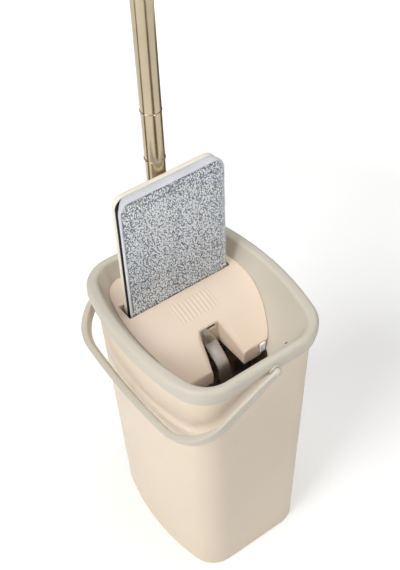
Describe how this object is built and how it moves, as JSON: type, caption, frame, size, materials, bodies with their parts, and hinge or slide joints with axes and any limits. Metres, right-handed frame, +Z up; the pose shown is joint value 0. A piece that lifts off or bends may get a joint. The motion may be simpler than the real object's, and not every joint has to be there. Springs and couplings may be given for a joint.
{
  "type": "mop and bucket with wringer",
  "caption": "Tall rounded bucket with a wringer insert and side-swinging bail; a flat pad mop with a jointed pole stands on end in the wringer slot.",
  "frame": {"origin": "centre of the bucket's flat bottom", "axes": "+X along the wringer slot and the pad's width, -Y towards the open front of the bucket, +Z up along the pole"},
  "size_m": [0.2097, 0.2454, 1.569],
  "materials": {
    "cream_shell": "satin",
    "grey_beige_collar": "satin",
    "peach_cover": "satin",
    "white_tab": "gloss",
    "plate_cream": "satin",
    "black_hook": "hook-and-loop",
    "chenille_pile": "short looped pile",
    "lavender_binding": "woven tape",
    "leaf_steel": "brushed",
    "pin_steel": "plain",
    "blade_rubber": "matt",
    "grey_joint": "satin",
    "champagne_tube": "polished champagne",
    "dark_plug": "matt",
    "grip_plastic": "satin"
  },
  "bodies": {
    "bucket": {"bucket_shell": "cream_shell", "rim_collar": "grey_beige_collar", "wringer_cover": "peach_cover", "latch_tab": "white_tab", "guide_rail_right": "peach_cover", "guide_rail_left": "peach_cover", "rail_brace": "peach_cover", "scrub_board": "peach_cover", "leaf_spring": "leaf_steel", "spring_bar": "peach_cover", "spring_screws": "pin_steel"},
    "bail": {"bail_handle": "grey_beige_collar", "bail_peg_front": "grey_beige_collar", "bail_peg_back": "grey_beige_collar"},
    "scraper": {"press_plate": "peach_cover", "scraper_blade": "blade_rubber", "press_axle": "pin_steel"},
    "mop_head": {"mop_pad": "chenille_pile", "pad_backing": "lavender_binding", "hook_layer": "black_hook", "mop_plate": "plate_cream", "hinge_bracket": "plate_cream", "bracket_screws": "pin_steel", "head_pin": "pin_steel"},
    "yoke": {"swivel_yoke": "grey_joint"},
    "pole": {"pole_socket": "grey_joint", "swing_pin": "pin_steel", "lower_tube": "champagne_tube", "lower_plug": "dark_plug", "lower_sleeve": "champagne_tube", "middle_tube": "champagne_tube", "upper_plug": "dark_plug", "upper_sleeve": "champagne_tube", "upper_tube": "champagne_tube", "grip": "grip_plastic", "hanging_cap": "grip_plastic"}
  },
  "joints": [
    {"name": "bail_swing", "type": "hinge", "parent": "bucket", "child": "bail", "pos_m": [0.01, 0, 0.354], "axis": [0, 1, 0], "range_deg": [0, 70]},
    {"name": "mop_lift", "type": "slide", "parent": "bucket", "child": "mop_head", "axis": [0, 0, 1], "range_m": [-0.162, 0.2]},
    {"name": "head_fold", "type": "hinge", "parent": "mop_head", "child": "yoke", "pos_m": [0, 0.0685, 0.3415], "axis": [-1, 0, 0], "range_deg": [0, 30]},
    {"name": "pole_swing", "type": "hinge", "parent": "yoke", "child": "pole", "pos_m": [0, 0.0685, 0.364], "axis": [0, 1, 0], "range_deg": [-8, 8]},
    {"name": "scraper_press", "type": "hinge", "parent": "bucket", "child": "scraper", "pos_m": [0, 0.024, 0.338], "axis": [-1, 0, 0], "range_deg": [0, 12], "stiffness_Nm_per_rad": 6, "springref_deg": -1.72, "deforming": ["leaf_spring"]}
  ]
}
